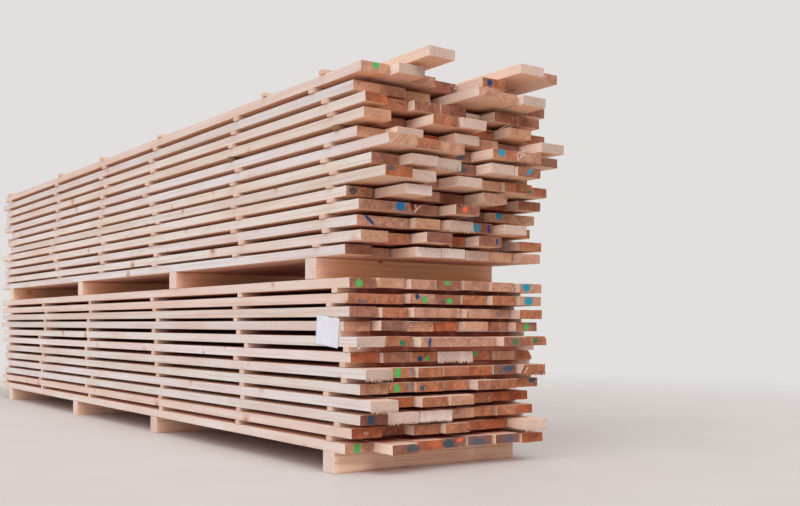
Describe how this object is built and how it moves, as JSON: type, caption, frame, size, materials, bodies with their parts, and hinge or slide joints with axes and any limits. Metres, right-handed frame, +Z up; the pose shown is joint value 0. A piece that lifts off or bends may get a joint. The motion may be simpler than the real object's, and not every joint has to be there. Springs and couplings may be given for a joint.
{
  "type": "stack of lumber",
  "caption": "Two packs of sawn softwood boards on bearers, stacked one on the other, with thin sticks across between the layers and uneven board ends.",
  "frame": {"origin": "on the floor, under the middle of the whole stack's box", "axes": "+X along the boards towards the uneven near ends, +Y across the pack, +Z up"},
  "size_m": [6.462, 1.164, 1.933],
  "materials": {
    "boards": "fresh sawn softwood, pale on the sides, weathered orange-brown and grey on the end grain",
    "sticks": "thin dry sawn sticks",
    "bearers": "rough sawn square timber",
    "label": "bare white paper, slightly creased"
  },
  "bodies": {
    "root": {"lower_layer_01": "boards", "lower_layer_02": "boards", "lower_layer_03": "boards", "lower_layer_04": "boards", "lower_layer_05": "boards", "lower_layer_06": "boards", "lower_layer_07": "boards", "lower_layer_08": "boards", "lower_layer_09": "boards", "lower_layer_10": "boards", "lower_layer_11": "boards", "lower_layer_12": "boards", "upper_layer_01": "boards", "upper_layer_02": "boards", "upper_layer_03": "boards", "upper_layer_04": "boards", "upper_layer_05": "boards", "upper_layer_06": "boards", "upper_layer_07": "boards", "upper_layer_08": "boards", "upper_layer_09": "boards", "upper_layer_10": "boards", "upper_layer_11": "boards", "upper_layer_12": "boards", "upper_layer_13": "boards", "top_boards": "boards", "lower_sticks_01": "sticks", "lower_sticks_02": "sticks", "lower_sticks_03": "sticks", "lower_sticks_04": "sticks", "lower_sticks_05": "sticks", "lower_sticks_06": "sticks", "lower_sticks_07": "sticks", "lower_sticks_08": "sticks", "lower_sticks_09": "sticks", "lower_sticks_10": "sticks", "lower_sticks_11": "sticks", "upper_sticks_01": "sticks", "upper_sticks_02": "sticks", "upper_sticks_03": "sticks", "upper_sticks_04": "sticks", "upper_sticks_05": "sticks", "upper_sticks_06": "sticks", "upper_sticks_07": "sticks", "upper_sticks_08": "sticks", "upper_sticks_09": "sticks", "upper_sticks_10": "sticks", "upper_sticks_11": "sticks", "upper_sticks_12": "sticks", "top_sticks": "sticks", "lower_bearer_1": "bearers", "lower_bearer_2": "bearers", "lower_bearer_3": "bearers", "lower_bearer_4": "bearers", "upper_bearer_1": "bearers", "upper_bearer_2": "bearers", "upper_bearer_3": "bearers", "upper_bearer_4": "bearers", "paper_label": "label"}
  },
  "joints": []
}
